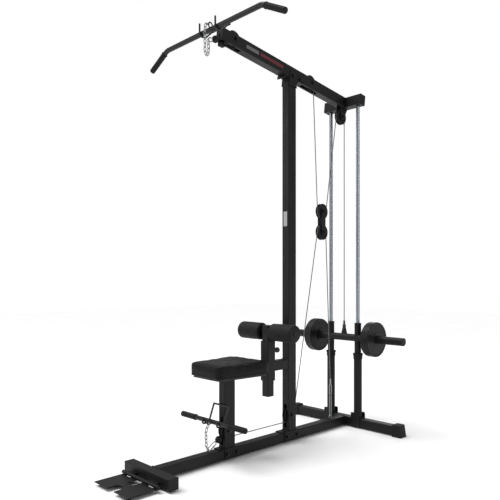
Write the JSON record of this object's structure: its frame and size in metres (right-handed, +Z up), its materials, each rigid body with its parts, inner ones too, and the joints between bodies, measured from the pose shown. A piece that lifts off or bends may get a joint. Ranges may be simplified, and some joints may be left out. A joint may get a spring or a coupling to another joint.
{
  "type": "lat pulldown machine",
  "caption": "Plate-loaded lat pulldown and low row machine with a mast, tilted boom, guide rods, weight carriage, cables over pulleys, seat, thigh rollers and two bars.",
  "frame": {"origin": "on the floor under the centre of the bounding box", "axes": "+Z up; +Y from the footplate towards the weights; +X to the right of someone who looks along +Y"},
  "size_m": [0.991, 1.701, 2.12],
  "materials": {
    "frame_paint": "satin black powder coat",
    "moving_paint": "satin black powder coat",
    "cap_plastic": "moulded black",
    "foot_rubber": "moulded black rubber",
    "chrome": "polished",
    "seat_vinyl": "black vinyl, soft sheen",
    "seat_wood": "dark board",
    "foam": "black foam with skin",
    "pulley_nylon": "black nylon",
    "plate_iron": "dark satin coat",
    "zinc": "zinc plated",
    "cable_jacket": "steel cable in a clear jacket",
    "bar_paint": "dark grey coat",
    "grip_rubber": "ribbed black rubber"
  },
  "bodies": {
    "frame": {"front_crossbeam": "frame_paint", "base_beam": "frame_paint", "rear_crossbeam": "frame_paint", "rubber_feet": "foot_rubber", "tube_end_caps": "cap_plastic", "base_brackets": "frame_paint", "mast": "frame_paint", "boom_saddle": "frame_paint", "boom": "frame_paint", "top_crossbeam": "frame_paint", "guide_rods": "chrome", "rod_posts": "frame_paint", "rod_sockets": "frame_paint", "bumpers": "foot_rubber", "seat_post": "frame_paint", "seat_board": "seat_wood", "seat_pad": "seat_vinyl", "thigh_holder": "frame_paint", "pin_housing": "zinc", "pulley_axles": "zinc", "top_pulley_cheeks": "frame_paint", "high_cable": "cable_jacket", "low_cable": "cable_jacket", "high_cable_carriage_run": "cable_jacket", "high_cable_block_runs": "cable_jacket", "low_cable_block_runs": "cable_jacket", "lat_chain": "zinc", "row_chain": "zinc", "anchor_chain": "zinc", "cable_ends": "zinc", "nose_roller": "cap_plastic", "frame_bolts": "zinc", "bar_hooks": "zinc", "footplate_mount": "frame_paint"},
    "carriage": {"carriage": "moving_paint", "carriage_bushes": "pulley_nylon", "sleeve_caps": "cap_plastic", "cable_clevis": "zinc"},
    "plate_left": {"plate_left": "plate_iron"},
    "plate_right": {"plate_right": "plate_iron"},
    "thigh_upright": {"thigh_upright": "moving_paint", "roller_axle": "moving_paint"},
    "roller_left": {"roller_left": "foam"},
    "roller_right": {"roller_right": "foam"},
    "pull_pin": {"pull_pin": "zinc"},
    "footplate": {"footplate": "moving_paint", "footplate_pads": "foot_rubber"},
    "lat_bar": {"lat_bar": "bar_paint", "lat_bar_grips": "grip_rubber"},
    "row_bar": {"row_bar": "bar_paint", "row_bar_grips": "grip_rubber"},
    "floating_block": {"block_frame": "moving_paint", "block_cable_loops": "cable_jacket"},
    "front_boom_pulley": {"front_boom_pulley": "pulley_nylon"},
    "rear_boom_pulley": {"rear_boom_pulley": "pulley_nylon"},
    "top_rear_pulley": {"top_rear_pulley": "pulley_nylon"},
    "block_upper_pulley": {"block_upper_pulley": "pulley_nylon"},
    "block_lower_pulley": {"block_lower_pulley": "pulley_nylon"},
    "mast_low_pulley": {"mast_low_pulley": "pulley_nylon"},
    "seat_low_pulley": {"seat_low_pulley": "pulley_nylon"}
  },
  "joints": [
    {"name": "carriage_slide", "type": "slide", "parent": "frame", "child": "carriage", "axis": [0, 0, 1], "range_m": [0, 1.1], "deforming": ["high_cable_carriage_run"]},
    {"name": "top_rear_pulley_spin", "type": "hinge", "parent": "frame", "child": "top_rear_pulley", "pos_m": [0, 0.711, 1.862], "axis": [1, 0, 0], "continuous": true},
    {"name": "rear_boom_pulley_spin", "type": "hinge", "parent": "frame", "child": "rear_boom_pulley", "pos_m": [0, 0.42115, 1.99638], "axis": [1, 0, 0], "continuous": true},
    {"name": "front_boom_pulley_spin", "type": "hinge", "parent": "frame", "child": "front_boom_pulley", "pos_m": [0, -0.16817, 2.07083], "axis": [1, 0, 0], "continuous": true},
    {"name": "block_upper_pulley_spin", "type": "hinge", "parent": "floating_block", "child": "block_upper_pulley", "pos_m": [0, 0.5315, 1.277], "axis": [1, 0, 0], "continuous": true},
    {"name": "block_slide", "type": "slide", "parent": "frame", "child": "floating_block", "axis": [0, 0, -1], "range_m": [0, 0.45], "deforming": ["high_cable_block_runs", "low_cable_block_runs"]},
    {"name": "block_lower_pulley_spin", "type": "hinge", "parent": "floating_block", "child": "block_lower_pulley", "pos_m": [0, 0.5315, 1.157], "axis": [1, 0, 0], "continuous": true},
    {"name": "mast_low_pulley_spin", "type": "hinge", "parent": "frame", "child": "mast_low_pulley", "pos_m": [0, 0.2475, 0.145], "axis": [1, 0, 0], "continuous": true},
    {"name": "seat_low_pulley_spin", "type": "hinge", "parent": "frame", "child": "seat_low_pulley", "pos_m": [0, -0.2105, 0.145], "axis": [1, 0, 0], "continuous": true},
    {"name": "plate_left_slide", "type": "slide", "parent": "carriage", "child": "plate_left", "axis": [-1, 0, 0], "range_m": [0, 0.3]},
    {"name": "plate_right_slide", "type": "slide", "parent": "carriage", "child": "plate_right", "axis": [1, 0, 0], "range_m": [0, 0.3]},
    {"name": "thigh_height_slide", "type": "slide", "parent": "frame", "child": "thigh_upright", "axis": [0, 0, 1], "range_m": [0, 0.075]},
    {"name": "roller_left_spin", "type": "hinge", "parent": "thigh_upright", "child": "roller_left", "pos_m": [0, 0.0825, 0.607], "axis": [1, 0, 0], "continuous": true},
    {"name": "roller_right_spin", "type": "hinge", "parent": "thigh_upright", "child": "roller_right", "pos_m": [0, 0.0825, 0.607], "axis": [1, 0, 0], "continuous": true},
    {"name": "pull_pin_slide", "type": "slide", "parent": "frame", "child": "pull_pin", "axis": [0, 1, 0], "range_m": [0, 0.008], "stiffness_N_per_m": 600, "springref_m": -0.004},
    {"name": "footplate_hinge", "type": "hinge", "parent": "frame", "child": "footplate", "pos_m": [0, -0.7055, 0.0245], "axis": [-1, 0, 0], "range_deg": [0, 95]},
    {"name": "lat_bar_lift", "type": "slide", "parent": "frame", "child": "lat_bar", "axis": [0, 0, 1], "range_m": [0, 0.06], "deforming": ["lat_chain"]},
    {"name": "row_bar_lift", "type": "slide", "parent": "frame", "child": "row_bar", "axis": [0, 0, 1], "range_m": [0, 0.022], "deforming": ["row_chain"]}
  ],
  "couplings": [
    {"joint": "top_rear_pulley_spin", "follows": "carriage_slide", "rad_per_m": 25.974},
    {"joint": "rear_boom_pulley_spin", "follows": "carriage_slide", "rad_per_m": 30.303},
    {"joint": "front_boom_pulley_spin", "follows": "carriage_slide", "rad_per_m": 30.303},
    {"joint": "block_upper_pulley_spin", "follows": "carriage_slide", "rad_per_m": -25.974},
    {"joint": "block_lower_pulley_spin", "follows": "block_slide", "rad_per_m": 25.974},
    {"joint": "mast_low_pulley_spin", "follows": "block_slide", "rad_per_m": -51.948},
    {"joint": "seat_low_pulley_spin", "follows": "block_slide", "rad_per_m": -51.948}
  ]
}
